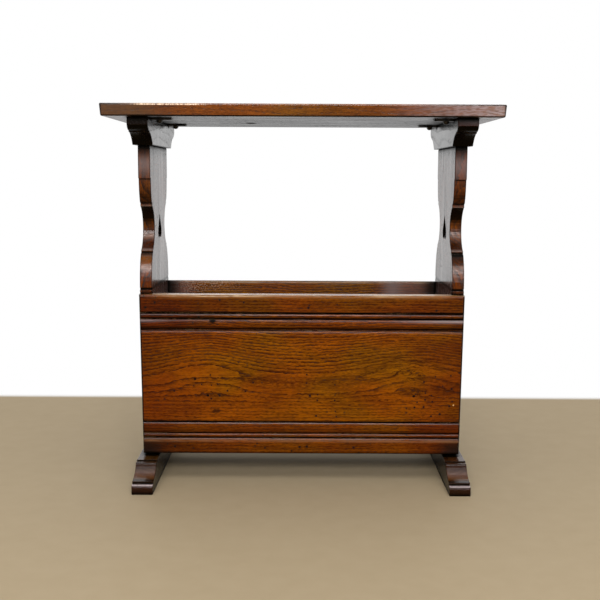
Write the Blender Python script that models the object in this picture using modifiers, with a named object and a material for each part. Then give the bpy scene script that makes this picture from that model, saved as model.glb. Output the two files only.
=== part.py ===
"""Magazine rack side table in dark stained oak.

Two shaped and pierced end boards stand in sledge feet and carry a rectangular top on two
ogee ended bearers. A narrow trough for magazines, with moulded front and back panels that
lean outwards, closes the lower half. Metres, +Z up. X runs along the table, Y across it,
and the origin is on the floor at the middle of the table.
"""

import math

import bmesh
import bpy
from mathutils import Matrix, Vector

# Clearance between pieces that seat on or in each other, and the overrun of cuts
fit_gap = 0.0003
overrun = 0.004

# Table top
table_height = 0.597
top_length = 0.600
top_depth = 0.335
top_thickness = 0.019
top_undercut = 0.0015
top_edge_radius = 0.0022

# Bearers under the top: their ogee ends are drawn from the end face inwards
bearer_thickness = 0.0315
bearer_height = 0.040
bearer_setback = 0.015
bearer_face_height = 0.0115
bearer_ovolo_depth = 0.0165
bearer_ovolo_height = 0.0085
bearer_fillet_height = 0.0020
bearer_fillet_depth = 0.0035
bearer_cove_depth = 0.0275

# Sledge feet: flat under the trough, then a step, an ovolo, a cove and a bead at the toe
foot_thickness = 0.033
foot_height = 0.040
foot_setback = 0.0025
foot_step_height = 0.0018
foot_fillet_depth = 0.0070
foot_ovolo_depth = 0.0030
foot_ovolo_height = 0.0022
foot_cove_depth = 0.0350
foot_riser_height = 0.0035
foot_bead_depth = 0.0080
foot_bead_height = 0.0152
foot_bead_radius = 0.0058

# End boards: the top overhangs the middle of each board by the same length
board_thickness = 0.019
board_overhang = 0.0535
board_neck_depth = 0.189
board_waist_depth = 0.1115
board_cheek_depth = 0.192
board_fillet_depth = 0.156
board_ledge = 0.0033
board_fillet_height = 0.0050
board_quirk_depth = 0.0025
board_arris_radius = 0.0010

# Where the shaped edge changes, as shares of the free height below the bearer
neck_end_share = 0.2210
upper_ovolo_end_share = 0.3870
waist_middle_share = 0.5600
waist_height_share = 0.2990
lower_ovolo_end_share = 0.9480
quirk_share = 0.9640
quirk_height_share = 0.0139

# Pull of each curve's control point, as shares of its run inwards and its run along the edge
upper_ovolo_shares = (0.20, 0.74)
lower_ovolo_shares = (0.97, 0.42)
bearer_ovolo_shares = (0.25, 1.00)
bearer_cove_shares = (0.58, 0.20)
foot_ovolo_shares = (0.85, 0.00)
foot_cove_shares = (0.22, 0.78)

# Heart shaped piercing, point up, centred on the waist
heart_width = 0.038
heart_height = 0.040
heart_lobe_radius = 0.0103

# Tenons of the end boards
tenon_thickness = 0.0095
tenon_length = 0.026
upper_tenon_width = 0.120
lower_tenon_width = 0.090
mortise_end_gap = 0.0006

# Trough panels: the section is drawn upright and then leaned outwards
panel_thickness = 0.018
panel_foot_gap = 0.0044
panel_slope_height = 0.2616
panel_bottom_depth = 0.1773
panel_lean = math.radians(4.05)
panel_rim_radius = 0.0030
panel_end_radius = 0.0025
panel_groove_width = 0.0016
panel_groove_depth = 0.0030
panel_round_height = 0.0075
panel_foot_radius = 0.0012

# Heights of the run mouldings from the bottom edge of a panel
lower_band_height = 0.0261
lower_thin_bead_height = 0.0062
lower_wide_bead_height = 0.0187
upper_wide_bead_height = 0.0164
upper_thin_bead_height = 0.0092
rim_band_height = 0.0280
lower_thin_bead_round_height = 0.0034
upper_thin_bead_round_height = 0.0044
wide_bead_round_height = 0.0080
thin_bead_foot_radius = 0.0016
panel_groove_count = 4

# Rack floor, housed in the panels and the end boards
floor_thickness = 0.012
floor_rise = 0.008
floor_housing_depth = 0.005

# Dowels between the panels and the edges of the end boards
dowel_radius = 0.004
dowel_length = 0.034
dowel_in_panel = 0.011
dowel_chamfer = 0.0010
dowel_height_shares = (0.16, 0.50, 0.84)

# Steel plates that hold the top to the bearers
plate_width = 0.018
plate_thickness = 0.003
plate_reach = 0.031
plate_seat = 0.021
plate_front_share = -0.343
plate_back_share = 0.224
plate_corner_radius = 0.0035
circular_profile_share = 0.5

# Screws
screw_shank_radius = 0.0021
screw_point_length = 0.005
top_screw_offset = 0.0125
top_screw_depth = 0.013
top_screw_head_radius = 0.0050
top_screw_head_height = 0.0045
screw_slot_width = 0.0012
screw_slot_depth = 0.0016
bearer_screw_offset = 0.0105
bearer_screw_length = 0.026
bearer_screw_head_radius = 0.0041
bearer_screw_head_height = 0.0021

# Steps of round stretches
arc_steps = 8
waist_steps = 18
lobe_steps = 14
round_steps = 16

# Places that follow from the sizes above
top_underside = table_height - top_thickness
bearer_top = top_underside - fit_gap
bearer_bottom = bearer_top - bearer_height
board_top = bearer_bottom - fit_gap
board_bottom = foot_height + fit_gap
board_x = top_length / 2 - board_overhang
board_inner_x = board_x - board_thickness / 2
bearer_inner_x = board_x - bearer_thickness / 2
panel_length = 2 * board_x + board_thickness
panel_bottom = foot_height + panel_foot_gap
panel_half_depth = panel_bottom_depth / 2
panel_top = (panel_bottom + (panel_slope_height - panel_rim_radius) * math.cos(panel_lean)
             + (panel_thickness - panel_rim_radius) * math.sin(panel_lean) + panel_rim_radius)
free_height = board_top - panel_top - fit_gap
floor_bottom = panel_bottom + floor_rise
floor_top = floor_bottom + floor_thickness
plate_top = bearer_top
plate_bottom = plate_top - plate_thickness
plate_places = {"front": top_depth * plate_front_share, "back": top_depth * plate_back_share}
sides = {"left": -1, "right": 1}

# Colour, roughness and metallic value of the steel
plate_finish = ((0.035, 0.033, 0.03), 0.45, 0.9)
screw_finish = ((0.05, 0.045, 0.04), 0.4, 0.9)


def panel_inner_depth(height):
    """Distance from the middle of the table to a panel's inner face, at a height."""
    outer = panel_half_depth + (height - panel_bottom) * math.tan(panel_lean)
    return outer - panel_thickness / math.cos(panel_lean)


def clear_scene():
    for thing in list(bpy.data.objects):
        bpy.data.objects.remove(thing, do_unlink=True)


def new_collection(name):
    collection = bpy.data.collections.new(name)
    bpy.context.scene.collection.children.link(collection)
    return collection


def finish_material(name, colour, roughness, metallic=0.0):
    material = bpy.data.materials.new(name)
    material.use_nodes = True
    shader = material.node_tree.nodes["Principled BSDF"]
    shader.inputs["Base Color"].default_value = (*colour, 1.0)
    shader.inputs["Roughness"].default_value = roughness
    shader.inputs["Metallic"].default_value = metallic
    return material


def add_object(name, mesh, collection, material=None):
    thing = bpy.data.objects.new(name, mesh)
    collection.objects.link(thing)
    if material is not None:
        mesh.materials.append(material)
    return thing


def add_cutter(name, mesh):
    cutter = add_object(name, mesh, cutters)
    cutter.hide_render = True
    cutter.display_type = "WIRE"
    return cutter


def mesh_of_boxes(name, boxes):
    """One mesh of separate boxes, each given by its lowest and highest corners."""
    bm = bmesh.new()
    for low, high in boxes:
        low = Vector(low)
        high = Vector(high)
        place = Matrix.Translation((low + high) / 2) @ Matrix.Diagonal((*(high - low), 1))
        bmesh.ops.create_cube(bm, size=1, matrix=place)
    mesh = bpy.data.meshes.new(name)
    bm.to_mesh(mesh)
    bm.free()
    return mesh


def mesh_of_rods(name, radius, length, places):
    """One mesh of separate round rods, each centred on its place and along its Z."""
    bm = bmesh.new()
    for place in places:
        bmesh.ops.create_cone(bm, cap_ends=True, segments=round_steps, radius1=radius,
                              radius2=radius, depth=length, matrix=place)
    mesh = bpy.data.meshes.new(name)
    bm.to_mesh(mesh)
    bm.free()
    return mesh


def face_outwards(bm):
    """Makes the faces agree, and turns them all round where they enclose less than nothing."""
    bmesh.ops.recalc_face_normals(bm, faces=bm.faces)
    if bm.calc_volume(signed=True) < 0:
        bmesh.ops.reverse_faces(bm, faces=bm.faces)


def mesh_from_outline(name, points, thickness):
    """A flat board: the outline is drawn across Y and up Z, and is thick along X."""
    curve = bpy.data.curves.new(name, "CURVE")
    curve.dimensions = "2D"
    curve.fill_mode = "BOTH"
    curve.extrude = thickness / 2
    spline = curve.splines.new("POLY")
    spline.points.add(len(points) - 1)
    for point, (across, up) in zip(spline.points, points):
        point.co = (across, up, 0, 1)
    spline.use_cyclic_u = True
    drawn = bpy.data.objects.new(name, curve)
    bpy.context.scene.collection.objects.link(drawn)
    bpy.context.view_layer.update()
    seen = drawn.evaluated_get(bpy.context.evaluated_depsgraph_get())
    mesh = bpy.data.meshes.new_from_object(seen)
    bpy.data.objects.remove(drawn, do_unlink=True)
    bm = bmesh.new()
    bm.from_mesh(mesh)
    bmesh.ops.remove_doubles(bm, verts=bm.verts, dist=fit_gap / 10)
    for face_height in (-thickness / 2, thickness / 2):
        broad = [face for face in bm.faces
                 if all(abs(vertex.co.z - face_height) < fit_gap for vertex in face.verts)]
        bmesh.ops.dissolve_faces(bm, faces=broad)
    bm.transform(Matrix.Rotation(math.pi / 2, 4, "Z") @ Matrix.Rotation(math.pi / 2, 4, "X"))
    face_outwards(bm)
    bm.to_mesh(mesh)
    bm.free()
    return mesh


def soften(thing, width, segments=2):
    """Rounds the arrises between a board's broad faces and its shaped edge."""
    bevel = thing.modifiers.new("worn_arrises", "BEVEL")
    bevel.width = width
    bevel.segments = segments
    bevel.use_clamp_overlap = False
    bevel.limit_method = "WEIGHT"
    bm = bmesh.new()
    bm.from_mesh(thing.data)
    weight = bm.edges.layers.float.new("bevel_weight_edge")
    for edge in bm.edges:
        start, end = (vertex.co for vertex in edge.verts)
        edge[weight] = 1.0 if abs(start.x - end.x) < fit_gap else 0.0
    bm.to_mesh(thing.data)
    bm.free()


def combine(thing, other, operation, label):
    boolean = thing.modifiers.new(label, "BOOLEAN")
    boolean.operation = operation
    boolean.object = other
    boolean.solver = "EXACT"


def shade(thing, angle=35):
    thing.data.shade_smooth()
    thing.data.set_sharp_from_angle(angle=math.radians(angle))


def arc(centre, radius, start, end, steps):
    """Points along an arc, from one angle to the other, in degrees."""
    points = []
    for step in range(steps + 1):
        angle = math.radians(start + (end - start) * step / steps)
        points.append((centre[0] + radius * math.cos(angle),
                       centre[1] + radius * math.sin(angle)))
    return points


def sweep(start, shares, end, steps=arc_steps):
    """Points along a parabola, whose control point lies at the given shares of its run."""
    control = [a + (c - a) * share for a, share, c in zip(start, shares, end)]
    points = []
    for step in range(steps + 1):
        t = step / steps
        points.append(tuple((1 - t) ** 2 * a + 2 * t * (1 - t) * b + t ** 2 * c
                            for a, b, c in zip(start, control, end)))
    return points


def mirrored(half):
    """Closes a half outline, drawn down the +Y side, with its reflection."""
    return half + [(-across, up) for across, up in reversed(half)]


def board_half_outline():
    """Edge of an end board, from the bearer down to the foot."""
    neck = board_neck_depth / 2
    waist = board_waist_depth / 2
    cheek = board_cheek_depth / 2
    neck_end = board_top - free_height * neck_end_share
    upper_end = board_top - free_height * upper_ovolo_end_share
    waist_up = board_top - free_height * waist_middle_share
    lower_end = board_top - free_height * lower_ovolo_end_share
    quirk_up = board_top - free_height * quirk_share
    quirk_low = quirk_up - free_height * quirk_height_share
    shoulder_up = panel_top + fit_gap

    # The waist is one round bite, as deep as its sagitta asks
    bite_half = free_height * waist_height_share / 2
    fillet = board_fillet_depth / 2
    sagitta = fillet - waist
    bite_radius = (bite_half ** 2 + sagitta ** 2) / (2 * sagitta)
    bite_angle = math.degrees(math.atan2(bite_half, bite_radius - sagitta))
    bite_centre = (waist + bite_radius, waist_up)
    lower_start = waist_up - bite_half - board_fillet_height

    points = [(neck, board_top), (neck, neck_end)]
    points += sweep((neck - board_ledge, neck_end), upper_ovolo_shares,
                    (fillet + board_ledge, upper_end))
    points += [(fillet, upper_end)]
    points += arc(bite_centre, bite_radius, 180 - bite_angle, 180 + bite_angle, waist_steps)
    points += [(fillet, lower_start)]
    points += sweep((fillet + board_ledge, lower_start), lower_ovolo_shares,
                    (cheek, lower_end))
    points += [(cheek, quirk_up),
               (cheek - board_quirk_depth, quirk_up),
               (cheek - board_quirk_depth, quirk_low),
               (cheek, quirk_low),
               (cheek, shoulder_up)]
    inner_gap = fit_gap / math.cos(panel_lean)
    points += [(panel_inner_depth(shoulder_up) - inner_gap, shoulder_up),
               (panel_inner_depth(board_bottom) - inner_gap, board_bottom)]
    return points


def heart_outline():
    """A heart with its point up: two round lobes below and straight sides to the point."""
    middle_up = board_top - free_height * waist_middle_share
    lobe_y = heart_width / 2 - heart_lobe_radius
    lobe_up = middle_up - heart_height / 2 + heart_lobe_radius
    point = Vector((0, middle_up + heart_height / 2))
    to_point = point - Vector((lobe_y, lobe_up))
    slope = math.degrees(math.atan2(to_point.y, to_point.x))
    tangent = slope - math.degrees(math.acos(heart_lobe_radius / to_point.length))
    cleft = -math.degrees(math.acos(-lobe_y / heart_lobe_radius))
    lobe = arc((lobe_y, lobe_up), heart_lobe_radius, tangent, cleft, lobe_steps)
    return [tuple(point)] + lobe + [(-across, up) for across, up in reversed(lobe[:-1])]


def bearer_half_outline():
    """End of a bearer: a square face, an ovolo, a small fillet and a cove."""
    end = top_depth / 2 - bearer_setback
    face_low = bearer_top - bearer_face_height
    ovolo_end = end - bearer_ovolo_depth
    ovolo_low = face_low - bearer_ovolo_height
    fillet_low = ovolo_low - bearer_fillet_height
    cove_start = ovolo_end - bearer_fillet_depth
    cove_end = cove_start - bearer_cove_depth
    points = [(end, bearer_top)]
    points += sweep((end, face_low), bearer_ovolo_shares, (ovolo_end, ovolo_low))
    points += [(ovolo_end, fillet_low)]
    points += sweep((cove_start, fillet_low), bearer_cove_shares, (cove_end, bearer_bottom))
    return points


def foot_half_outline():
    """Toe of a foot: a flat top, a small step, a rounded shoulder, a cove and a bead."""
    toe = top_depth / 2 - foot_setback
    bead_start = toe - foot_bead_depth
    cove_start = bead_start - foot_cove_depth
    ovolo_start = cove_start - foot_ovolo_depth
    flat_end = ovolo_start - foot_fillet_depth
    step_low = foot_height - foot_step_height
    ovolo_low = step_low - foot_ovolo_height
    points = [(flat_end, foot_height), (flat_end, step_low)]
    points += sweep((ovolo_start, step_low), foot_ovolo_shares, (cove_start, ovolo_low))
    points += sweep((cove_start, ovolo_low), foot_cove_shares,
                    (bead_start, foot_bead_height + foot_riser_height))[1:]
    points += [(bead_start, foot_bead_height)]
    points += arc((toe - foot_bead_radius, foot_bead_height - foot_bead_radius),
                  foot_bead_radius, 90, 0, arc_steps // 2)
    points += [(toe, 0)]
    return points


def field_height():
    """Plain field of a panel, which takes what the mouldings and their grooves leave."""
    mouldings = (lower_band_height, lower_thin_bead_height, lower_wide_bead_height,
                 upper_wide_bead_height, upper_thin_bead_height, rim_band_height)
    return panel_slope_height - sum(mouldings) - panel_groove_count * panel_groove_width


def moulded_face():
    """Outer face of a panel from its bottom edge up: each band is rounded into a groove."""
    narrow = panel_groove_width / 2
    groove = panel_groove_width
    # Height, lower and upper rounding, and the groove above; two bands meet in a V without one
    bands = (
        (lower_band_height, panel_foot_radius, panel_round_height, groove),
        (lower_thin_bead_height, thin_bead_foot_radius, lower_thin_bead_round_height, 0),
        (lower_wide_bead_height, wide_bead_round_height, wide_bead_round_height, groove),
        (field_height(), narrow, panel_round_height, groove),
        (upper_wide_bead_height, wide_bead_round_height, wide_bead_round_height, 0),
        (upper_thin_bead_height, upper_thin_bead_round_height, upper_thin_bead_round_height,
         groove),
        (rim_band_height, narrow, panel_rim_radius, 0),
    )
    points = []
    up = 0
    for height, lower, upper, groove_above in bands:
        if groove_above or points:
            depth = min(lower, panel_groove_depth)
            points += oval((-depth, up + lower), depth, lower, 270, 360)
        top = up + height
        if top < panel_slope_height - narrow:
            depth = min(upper, panel_groove_depth)
            points += oval((-depth, top - upper), depth, upper, 0, 90)
        else:
            points += oval((-upper, top - upper), upper, upper, 0, 90)
        if groove_above:
            if upper < panel_groove_depth:
                points.append((-panel_groove_depth, top))
            points.append((-panel_groove_depth, top + groove))
        up = top + groove_above
    return points


def oval(centre, across, up, start, end):
    """Points along a quarter of an oval, from one angle to the other, in degrees."""
    return [(centre[0] + across * x, centre[1] + up * y)
            for x, y in arc((0, 0), 1, start, end, arc_steps // 2)]


def panel_outline():
    inner = arc((-panel_thickness + panel_rim_radius, panel_slope_height - panel_rim_radius),
                panel_rim_radius, 90, 180, arc_steps // 2)
    return moulded_face() + inner + [(-panel_thickness, 0)]


def panel_matrix(name):
    """Place of a panel's bottom outer edge; the front panel is the back one turned round."""
    turn = math.pi if name == "front" else 0
    lean = Matrix.Translation((0, panel_half_depth, panel_bottom)) @ \
        Matrix.Rotation(-panel_lean, 4, "X")
    return Matrix.Rotation(turn, 4, "Z") @ lean


def dowel_matrices(name, side):
    """Places of the dowels of one joint, square to the panel's inner face."""
    # The front panel is turned half round, so its own left is the table's right
    along = board_x * sides[side] * (-1 if name == "front" else 1)
    middle = dowel_in_panel - panel_thickness - dowel_length / 2
    places = []
    for share in dowel_height_shares:
        local = Matrix.Translation((along, middle, panel_slope_height * share))
        places.append(panel_matrix(name) @ local @ Matrix.Rotation(math.pi / 2, 4, "X"))
    return places


def turned_mesh(name, profile):
    """A round piece about its own Z, from its half section, turned by a Screw modifier."""
    mesh = bpy.data.meshes.new(name + "_profile")
    mesh.from_pydata([(radius, 0, up) for radius, up in profile],
                     [(i, i + 1) for i in range(len(profile) - 1)], [])
    drawn = bpy.data.objects.new(name + "_profile", mesh)
    bpy.context.scene.collection.objects.link(drawn)
    screw = drawn.modifiers.new("turned", "SCREW")
    screw.axis = "Z"
    screw.angle = math.tau
    screw.steps = round_steps
    screw.render_steps = round_steps
    screw.use_merge_vertices = True
    screw.merge_threshold = fit_gap / 10
    bpy.context.view_layer.update()
    seen = drawn.evaluated_get(bpy.context.evaluated_depsgraph_get())
    turned = bpy.data.meshes.new_from_object(seen)
    bpy.data.objects.remove(drawn, do_unlink=True)
    bm = bmesh.new()
    bm.from_mesh(turned)
    bmesh.ops.remove_doubles(bm, verts=bm.verts, dist=fit_gap / 10)
    face_outwards(bm)
    bm.to_mesh(turned)
    bm.free()
    return turned


def make_table_top():
    half_x = top_length / 2
    half_y = top_depth / 2
    mesh = mesh_of_boxes("table_top", [((-half_x, -half_y, top_underside),
                                        (half_x, half_y, table_height))])
    top = add_object("table_top", mesh, parts, finish_material("top_oak", (0.21, 0.075, 0.03), 0.3))
    # The edges are planed a little under square
    for vertex in mesh.vertices:
        if vertex.co.z < table_height - top_thickness / 2:
            vertex.co.x -= math.copysign(top_undercut, vertex.co.x)
            vertex.co.y -= math.copysign(top_undercut, vertex.co.y)
    rounding = top.modifiers.new("rounded_edges", "BEVEL")
    rounding.width = top_edge_radius
    rounding.segments = 3
    shade(top)
    hole_height = top_screw_depth + fit_gap
    places = [Matrix.Translation((top_screw_x(side), y,
                                  top_underside + hole_height / 2 - overrun / 2))
              for side in sides for y in plate_places.values()]
    holes = mesh_of_rods("top_pilot_holes", screw_shank_radius + fit_gap,
                         hole_height + overrun, places)
    combine(top, add_cutter("top_pilot_holes", holes), "DIFFERENCE", "pilot_holes")


def make_bearer(side):
    name = "bearer_" + side
    mesh = mesh_from_outline(name, mirrored(bearer_half_outline()), bearer_thickness)
    bearer = add_object(name, mesh, parts, finish_material(name + "_oak", (0.09, 0.03, 0.02), 0.3))
    bearer.location.x = board_x * sides[side]
    soften(bearer, board_arris_radius)
    shade(bearer)
    combine(bearer, mortise_cutter(side, "upper"), "DIFFERENCE", "mortise")
    combine(bearer, plate_notches(side), "DIFFERENCE", "plate_notches")
    combine(bearer, bearer_pilot_holes(side), "DIFFERENCE", "pilot_holes")


def make_foot(side):
    name = "foot_" + side
    mesh = mesh_from_outline(name, mirrored(foot_half_outline()), foot_thickness)
    foot = add_object(name, mesh, parts, finish_material(name + "_oak", (0.10, 0.035, 0.02), 0.3))
    foot.location.x = board_x * sides[side]
    soften(foot, board_arris_radius)
    shade(foot)
    combine(foot, mortise_cutter(side, "lower"), "DIFFERENCE", "mortise")


def tenon_box(side, end, grow):
    """Tenon of an end board, or its mortise, which is larger by grow all round."""
    x = board_x * sides[side]
    width = upper_tenon_width if end == "upper" else lower_tenon_width
    half = Vector((tenon_thickness / 2 + grow, width / 2 + grow, 0))
    reach = tenon_length + (mortise_end_gap if grow > 0 else 0)
    if end == "upper":
        low, high = board_top - overrun, board_top + reach
    else:
        low, high = board_bottom - reach, board_bottom + overrun
    return (x - half.x, -half.y, low), (x + half.x, half.y, high)


def mortise_cutter(side, end):
    name = f"{end}_mortise_{side}"
    return add_cutter(name, mesh_of_boxes(name, [tenon_box(side, end, fit_gap)]))


def make_end_board(side):
    name = "end_board_" + side
    mesh = mesh_from_outline(name, mirrored(board_half_outline()), board_thickness)
    board = add_object(name, mesh, parts, finish_material(name + "_oak", (0.13, 0.045, 0.02), 0.3))
    board.location.x = board_x * sides[side]
    soften(board, board_arris_radius)
    shade(board)
    heart = mesh_from_outline("heart_" + side, heart_outline(), board_thickness + 2 * overrun)
    heart_cutter = add_cutter("heart_" + side, heart)
    heart_cutter.location.x = board_x * sides[side]
    combine(board, heart_cutter, "DIFFERENCE", "heart")
    tenons = [tenon_box(side, "upper", 0), tenon_box(side, "lower", 0)]
    tenon_stock = add_cutter("tenons_" + side, mesh_of_boxes("tenons_" + side, tenons))
    combine(board, tenon_stock, "UNION", "tenons")
    combine(board, floor_housing, "DIFFERENCE", "floor_housing")
    for name in ("front", "back"):
        combine(board, dowel_holes[name, side], "DIFFERENCE", name + "_dowel_holes")


def make_panel(name):
    node = name + "_panel"
    mesh = mesh_from_outline(node, panel_outline(), panel_length + 2 * overrun)
    panel = add_object(node, mesh, parts, finish_material(node + "_oak", (0.22, 0.075, 0.02), 0.3))
    panel.matrix_world = panel_matrix(name)
    shade(panel)
    combine(panel, rounded_ends(name), "INTERSECT", "rounded_ends")
    combine(panel, floor_housing, "DIFFERENCE", "floor_housing")
    for side in sides:
        combine(panel, dowel_holes[name, side], "DIFFERENCE", side + "_dowel_holes")


def rounded_ends(name):
    """Stock that trims a panel to length and rounds the outer arrises of its ends."""
    label = "rounded_ends_" + name
    half_x = panel_length / 2
    mesh = mesh_of_boxes(label, [((-half_x, -panel_thickness - overrun, -overrun),
                                  (half_x, fit_gap, panel_slope_height + overrun))])
    bm = bmesh.new()
    bm.from_mesh(mesh)
    outer = [edge for edge in bm.edges
             if all(vertex.co.y > 0 for vertex in edge.verts)
             and abs(edge.verts[0].co.z - edge.verts[1].co.z) > overrun]
    bmesh.ops.bevel(bm, geom=outer, offset=panel_end_radius + fit_gap, segments=arc_steps // 2,
                    profile=circular_profile_share, affect="EDGES")
    bm.to_mesh(mesh)
    bm.free()
    stock = add_cutter(label, mesh)
    stock.matrix_world = panel_matrix(name)
    return stock


def floor_box(grow):
    half_x = board_inner_x + floor_housing_depth - fit_gap + grow
    half_y = panel_inner_depth(floor_bottom) + floor_housing_depth - fit_gap + grow
    return (-half_x, -half_y, floor_bottom - grow), (half_x, half_y, floor_top + grow)


def make_rack_floor():
    mesh = mesh_of_boxes("rack_floor", [floor_box(0)])
    add_object("rack_floor", mesh, parts, finish_material("floor_oak", (0.12, 0.045, 0.02), 0.45))


def make_dowels(name, side):
    half = dowel_length / 2
    profile = [(0, half), (dowel_radius - dowel_chamfer, half),
               (dowel_radius, half - dowel_chamfer), (dowel_radius, dowel_chamfer - half),
               (dowel_radius - dowel_chamfer, -half), (0, -half)]
    for number, place in enumerate(dowel_matrices(name, side), start=1):
        node = f"panel_dowel_{name}_{side}_{number}"
        beech = finish_material(node + "_beech", (0.5, 0.33, 0.18), 0.6)
        dowel = add_object(node, turned_mesh(node, profile), parts, beech)
        dowel.matrix_world = place
        shade(dowel)


def top_screw_x(side):
    return (bearer_inner_x - top_screw_offset) * sides[side]


def bearer_screw_x(side):
    return (bearer_inner_x + bearer_screw_offset) * sides[side]


def plate_notches(side):
    """Recesses in a bearer's top that let its plates lie flush."""
    inner = bearer_inner_x - overrun
    outer = bearer_inner_x + plate_seat + fit_gap
    low_x, high_x = sorted((inner * sides[side], outer * sides[side]))
    half = plate_width / 2 + fit_gap
    boxes = [((low_x, y - half, plate_bottom - fit_gap), (high_x, y + half, plate_top + overrun))
             for y in plate_places.values()]
    return add_cutter("plate_notches_" + side, mesh_of_boxes("plate_notches_" + side, boxes))


def bearer_pilot_holes(side):
    depth = bearer_screw_length + fit_gap
    places = [Matrix.Translation((bearer_screw_x(side), y, plate_top - depth / 2))
              for y in plate_places.values()]
    mesh = mesh_of_rods("bearer_pilot_holes_" + side, screw_shank_radius + fit_gap, depth, places)
    return add_cutter("bearer_pilot_holes_" + side, mesh)


def countersunk_profile(grow):
    """Half section of a countersunk screw, its head's flat top at zero."""
    shank = screw_shank_radius + grow
    head = bearer_screw_head_radius + grow
    point = bearer_screw_length - screw_point_length
    return [(0, grow), (head, grow), (shank, -bearer_screw_head_height), (shank, -point),
            (0, -bearer_screw_length)]


def round_head_profile():
    """Half section of a round headed screw, the underside of its head at zero."""
    dome = []
    for x, y in arc((0, 0), 1, 90, 0, arc_steps // 2):
        dome.append((top_screw_head_radius * x, top_screw_head_height * y))
    length = plate_thickness + 2 * fit_gap + top_screw_depth
    return dome + [(screw_shank_radius, 0), (screw_shank_radius, screw_point_length - length),
                   (0, -length)]


def make_plate(place, side):
    node = f"top_plate_{place}_{side}"
    y = plate_places[place]
    low_x, high_x = sorted(((bearer_inner_x - plate_reach) * sides[side],
                            (bearer_inner_x + plate_seat) * sides[side]))
    mesh = mesh_of_boxes(node, [((low_x, y - plate_width / 2, plate_bottom),
                                 (high_x, y + plate_width / 2, plate_top))])
    plate = add_object(node, mesh, parts, finish_material(node + "_steel", *plate_finish))
    round_plate_corners(plate)
    seat = add_cutter("countersink_" + node,
                      turned_mesh("countersink_" + node, countersunk_profile(fit_gap)))
    seat.location = (bearer_screw_x(side), y, plate_top)
    combine(plate, seat, "DIFFERENCE", "countersink")
    hole = mesh_of_rods("hole_" + node, screw_shank_radius + fit_gap,
                        plate_thickness + 2 * overrun,
                        [Matrix.Translation((top_screw_x(side), y, plate_top))])
    combine(plate, add_cutter("hole_" + node, hole), "DIFFERENCE", "screw_hole")


def round_plate_corners(plate):
    bm = bmesh.new()
    bm.from_mesh(plate.data)
    upright = [edge for edge in bm.edges
               if abs(edge.verts[0].co.z - edge.verts[1].co.z) > plate_thickness / 2]
    bmesh.ops.bevel(bm, geom=upright, offset=plate_corner_radius, segments=arc_steps // 2,
                    profile=0.5, affect="EDGES")
    bm.to_mesh(plate.data)
    bm.free()


def make_screws(place, side):
    """One screw up into the top, its head below the plate, and one down into the bearer."""
    y = plate_places[place]
    node = f"top_screw_{place}_{side}"
    screw = add_object(node, turned_mesh(node, round_head_profile()), parts,
                       finish_material(node + "_steel", *screw_finish))
    screw.rotation_euler.x = math.pi
    screw.location = (top_screw_x(side), y, plate_bottom - fit_gap)
    shade(screw)
    reach = Vector((top_screw_head_radius + overrun, screw_slot_width / 2, overrun))
    slot_bottom = Vector((top_screw_x(side), y, screw.location.z - top_screw_head_height
                          + screw_slot_depth))
    slot = mesh_of_boxes("slot_" + node, [(slot_bottom - reach,
                                           slot_bottom + reach - Vector((0, 0, overrun)))])
    combine(screw, add_cutter("slot_" + node, slot), "DIFFERENCE", "slot")

    node = f"bearer_screw_{place}_{side}"
    screw = add_object(node, turned_mesh(node, countersunk_profile(0)), parts,
                       finish_material(node + "_steel", *screw_finish))
    screw.location = (bearer_screw_x(side), y, plate_top)
    shade(screw)


clear_scene()
parts = new_collection("magazine_rack_side_table")
cutters = new_collection("cutters")

floor_housing = add_cutter("floor_housing", mesh_of_boxes("floor_housing", [floor_box(fit_gap)]))
dowel_holes = {}
for panel_name in ("front", "back"):
    for board_side in sides:
        label = f"dowel_holes_{panel_name}_{board_side}"
        rods = mesh_of_rods(label, dowel_radius + fit_gap, dowel_length + 2 * fit_gap,
                            dowel_matrices(panel_name, board_side))
        dowel_holes[panel_name, board_side] = add_cutter(label, rods)

make_table_top()
for board_side in sides:
    make_bearer(board_side)
    make_end_board(board_side)
    make_foot(board_side)
for panel_name in ("front", "back"):
    make_panel(panel_name)
    for board_side in sides:
        make_dowels(panel_name, board_side)
make_rack_floor()
for board_side in sides:
    for plate_place in plate_places:
        make_plate(plate_place, board_side)
        make_screws(plate_place, board_side)
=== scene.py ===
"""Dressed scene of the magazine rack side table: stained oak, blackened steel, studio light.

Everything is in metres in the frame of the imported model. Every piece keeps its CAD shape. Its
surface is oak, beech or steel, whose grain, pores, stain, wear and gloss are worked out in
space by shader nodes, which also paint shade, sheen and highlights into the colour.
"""

import math

import bpy
from mathutils import Matrix, Vector


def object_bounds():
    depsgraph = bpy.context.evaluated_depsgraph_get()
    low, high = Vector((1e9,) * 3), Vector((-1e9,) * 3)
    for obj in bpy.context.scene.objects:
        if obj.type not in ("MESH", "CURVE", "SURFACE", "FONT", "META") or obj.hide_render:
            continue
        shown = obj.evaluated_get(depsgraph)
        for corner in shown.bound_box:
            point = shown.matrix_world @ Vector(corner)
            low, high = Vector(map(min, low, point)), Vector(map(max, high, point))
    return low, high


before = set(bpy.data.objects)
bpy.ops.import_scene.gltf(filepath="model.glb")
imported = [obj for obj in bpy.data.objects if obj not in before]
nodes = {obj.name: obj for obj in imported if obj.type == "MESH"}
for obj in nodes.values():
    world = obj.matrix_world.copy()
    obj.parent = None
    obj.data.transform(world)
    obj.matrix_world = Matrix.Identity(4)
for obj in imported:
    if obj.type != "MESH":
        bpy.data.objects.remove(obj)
cad_low, cad_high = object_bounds()


def corners_of(name):
    """Lowest and highest corner of the box about a CAD node."""
    node = nodes[name]
    corners = [node.matrix_world @ Vector(corner) for corner in node.bound_box]
    return [Vector(map(pick, zip(*corners))) for pick in (min, max)]


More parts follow.
